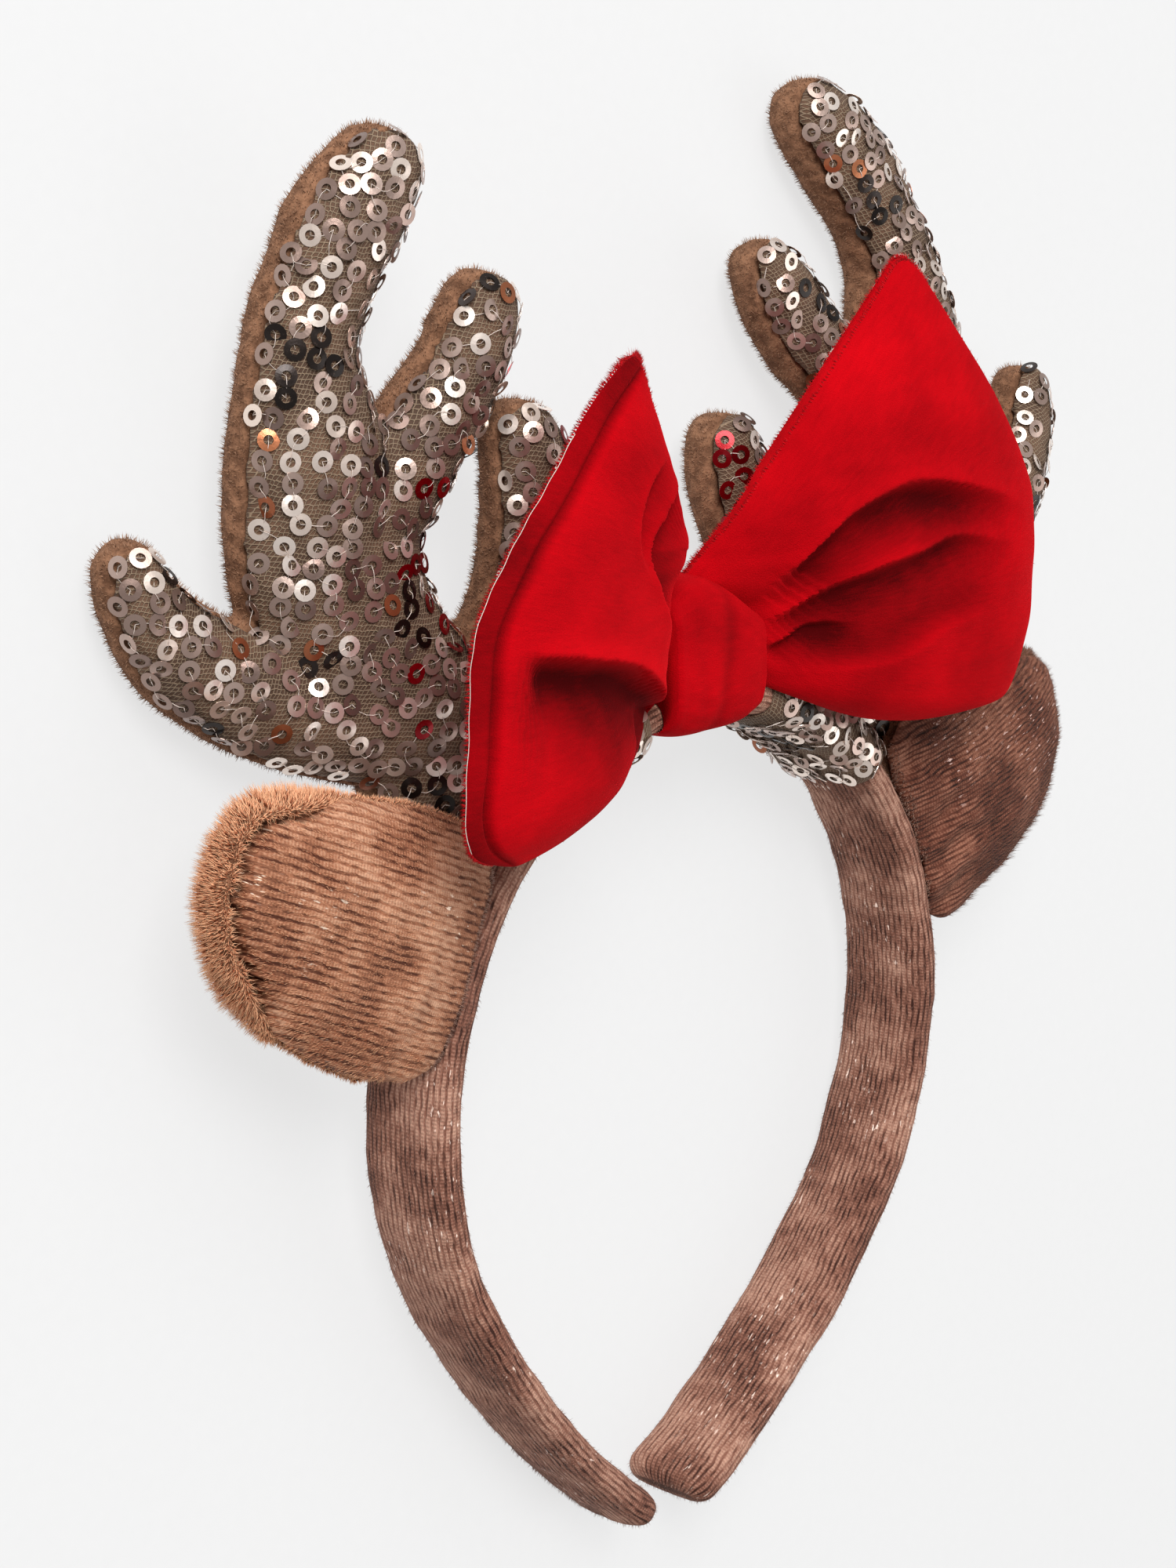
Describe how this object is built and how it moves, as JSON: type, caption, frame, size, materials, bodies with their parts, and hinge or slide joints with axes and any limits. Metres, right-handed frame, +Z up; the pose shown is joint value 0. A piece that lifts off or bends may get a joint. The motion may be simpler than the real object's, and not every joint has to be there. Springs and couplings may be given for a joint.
{
  "type": "reindeer antler headband",
  "caption": "Padded velvet hair band with stuffed sequined antlers, plush ears and a big red velvet bow tied round its top.",
  "frame": {"origin": "middle of the bounding box at its base, on the table it lies on", "axes": "+X to the viewer's right, +Y from the band's free ends towards the antler tips, +Z up out of the front of the bow"},
  "size_m": [0.238, 0.269, 0.0548],
  "materials": {
    "velvet_brown": "crushed velvet with lengthwise ribs",
    "velvet_red": "red velvet",
    "sequin_fabric": "brown net with ring sequins of a copper mirror finish",
    "plush": "short brown plush"
  },
  "bodies": {
    "root": {"antler_left_back": "plush", "antler_left_front": "sequin_fabric", "antler_left_wrap": "sequin_fabric", "antler_right_back": "plush", "antler_right_front": "sequin_fabric", "antler_right_wrap": "sequin_fabric", "bow_knot": "velvet_red", "bow_loop_left": "velvet_red", "bow_loop_right": "velvet_red", "ear_left_back": "plush", "ear_left_front": "velvet_brown", "ear_right_back": "plush", "ear_right_front": "velvet_brown", "headband": "velvet_brown"}
  },
  "joints": []
}
